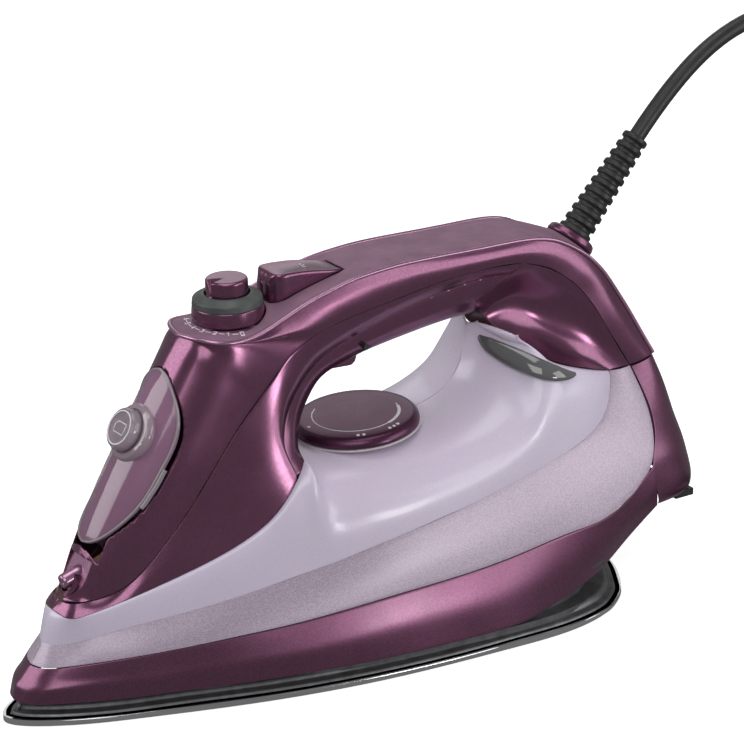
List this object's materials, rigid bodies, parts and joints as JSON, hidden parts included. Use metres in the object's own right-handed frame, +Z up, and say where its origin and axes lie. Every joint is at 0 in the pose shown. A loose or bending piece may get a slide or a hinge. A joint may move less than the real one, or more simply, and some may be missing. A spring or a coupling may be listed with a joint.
{
  "type": "steam iron",
  "caption": "Corded steam iron with a pointed metal soleplate, clear water tank, filler door, steam knob, spray and shot buttons, temperature dial and swivelling mains cord.",
  "frame": {"origin": "on the floor, below the middle of the iron, which rests flat on its soleplate", "axes": "+X from the nose to the heel, +Y across the iron, +Z up"},
  "size_m": [0.518, 0.1739, 0.2318],
  "materials": {
    "steel_sole": "polished bright metal sole with a brushed underside",
    "cast_aluminium": "cast, dark grey",
    "element_steel": "dull sheet steel",
    "silicone": "pale silicone",
    "plum_gloss": "pearl plum, glossy with a pink sheen at grazing angles",
    "plum_grip": "plum, softer gloss",
    "plum_skirt": "pearl plum, glossy",
    "lilac_tank": "translucent lilac with a frosted, finely speckled band",
    "door_clear": "translucent pink plum with a grey border",
    "clear_trim": "clear smoky plastic",
    "light_trim": "pale grey plastic",
    "green_rubber": "matt grey-green",
    "black_rubber": "matt black",
    "white_plastic": "plain moulded",
    "spring_steel": "bright steel",
    "board_green": "circuit board",
    "lens_grey": "smoky clear lens",
    "shield_black": "glass-filled plastic",
    "plug_black": "moulded rubberised plastic",
    "pin_nickel": "nickel plated"
  },
  "bodies": {
    "root": {"soleplate": "steel_sole", "sole_casting": "cast_aluminium", "heating_element": "element_steel", "chamber_gasket": "silicone", "chamber_cover": "element_steel", "steam_pump": "white_plastic", "button_spring": "spring_steel", "valve_seat": "silicone", "spray_pump": "white_plastic", "spray_spring": "spring_steel", "spray_nozzle": "plum_gloss", "spray_tube": "silicone", "door_hinge_pin": "spring_steel", "filler_funnel": "white_plastic", "thermostat": "element_steel", "trigger_pin": "spring_steel", "trigger_spring": "spring_steel", "shot_pump": "white_plastic", "swivel_socket": "white_plastic", "inner_lead": "black_rubber", "control_board": "board_green", "terminal_block": "white_plastic", "cord_clamp": "white_plastic", "thermal_fuse": "element_steel", "pilot_lamp": "light_trim", "status_lens": "lens_grey", "nozzle_bezel": "plum_gloss", "upper_cover": "plum_gloss", "grip_insert": "plum_grip", "handle_shell": "plum_gloss", "rear_cover": "plum_gloss", "skirt": "plum_skirt", "water_tank": "lilac_tank", "heel_feet": "black_rubber", "rear_screws": "spring_steel", "shield_posts": "cast_aluminium", "heat_shield": "shield_black", "shield_screws": "spring_steel", "tank_base": "lilac_tank", "spindle_seal": "silicone", "mains_cord": "black_rubber", "cord_tail": "black_rubber", "cord_coil": "black_rubber", "plug": "plug_black", "plug_pins": "pin_nickel"},
    "steam_knob": {"steam_regulator": "plum_gloss", "regulator_collar": "green_rubber"},
    "steam_press": {"steam_button": "plum_gloss"},
    "valve_stem": {"valve_rod": "spring_steel"},
    "spray_press": {"spray_button": "plum_gloss", "spray_piston": "white_plastic"},
    "trigger": {"shot_trigger": "plum_gloss"},
    "shot_plunger": {"shot_piston": "white_plastic"},
    "dial": {"temperature_dial": "plum_gloss", "dial_ring": "light_trim", "dial_spindle": "white_plastic"},
    "door": {"filler_door": "door_clear"},
    "latch": {"door_latch_knob": "clear_trim"},
    "cord_swivel": {"cord_guard": "black_rubber", "cord_ball": "black_rubber"}
  },
  "joints": [
    {"name": "steam_knob_turn", "type": "hinge", "parent": "root", "child": "steam_knob", "pos_m": [-0.0533, 0, 0.1448], "axis": [-0.0349, 0, 0.9994], "range_deg": [0, 110]},
    {"name": "steam_button_press", "type": "slide", "parent": "root", "child": "steam_press", "axis": [0.0349, 0, -0.9994], "range_m": [0, 0.003], "stiffness_N_per_m": 500, "springref_m": -0.003, "deforming": ["button_spring"]},
    {"name": "valve_stem_lift", "type": "slide", "parent": "root", "child": "valve_stem", "axis": [0, 0, 1], "range_m": [0, 0.003]},
    {"name": "spray_button_press", "type": "slide", "parent": "root", "child": "spray_press", "axis": [0, 0, -1], "range_m": [0, 0.003], "stiffness_N_per_m": 500, "springref_m": -0.003, "deforming": ["spray_spring"]},
    {"name": "trigger_pull", "type": "hinge", "parent": "root", "child": "trigger", "pos_m": [0.0005, 0, 0.1255], "axis": [0, 1, 0], "range_deg": [0, 8], "stiffness_Nm_per_rad": 0.6, "springref_deg": -6.88, "deforming": ["trigger_spring"]},
    {"name": "shot_plunger_slide", "type": "slide", "parent": "root", "child": "shot_plunger", "axis": [1, 0, 0], "range_m": [0, 0.0013]},
    {"name": "temperature_turn", "type": "hinge", "parent": "root", "child": "dial", "pos_m": [0.0058, 0, 0.0872], "axis": [-0.0924, 0, 0.9957], "range_deg": [0, 270]},
    {"name": "filler_door_open", "type": "hinge", "parent": "root", "child": "door", "pos_m": [-0.11202, 0, 0.06575], "axis": [0, -1, 0], "range_deg": [0, 60]},
    {"name": "door_latch_turn", "type": "hinge", "parent": "door", "child": "latch", "pos_m": [-0.09679, 0, 0.10614], "axis": [-0.8601, 0, 0.5101], "range_deg": [0, 60]},
    {"name": "cord_swivel_turn", "type": "hinge", "parent": "root", "child": "cord_swivel", "pos_m": [0.1055, 0, 0.1376], "axis": [0.6569, 0, 0.7539], "range_deg": [-175, 175]}
  ],
  "couplings": [
    {"joint": "valve_stem_lift", "follows": "steam_knob_turn", "m_per_rad": 0.0015626},
    {"joint": "shot_plunger_slide", "follows": "trigger_pull", "m_per_rad": 0.009}
  ]
}
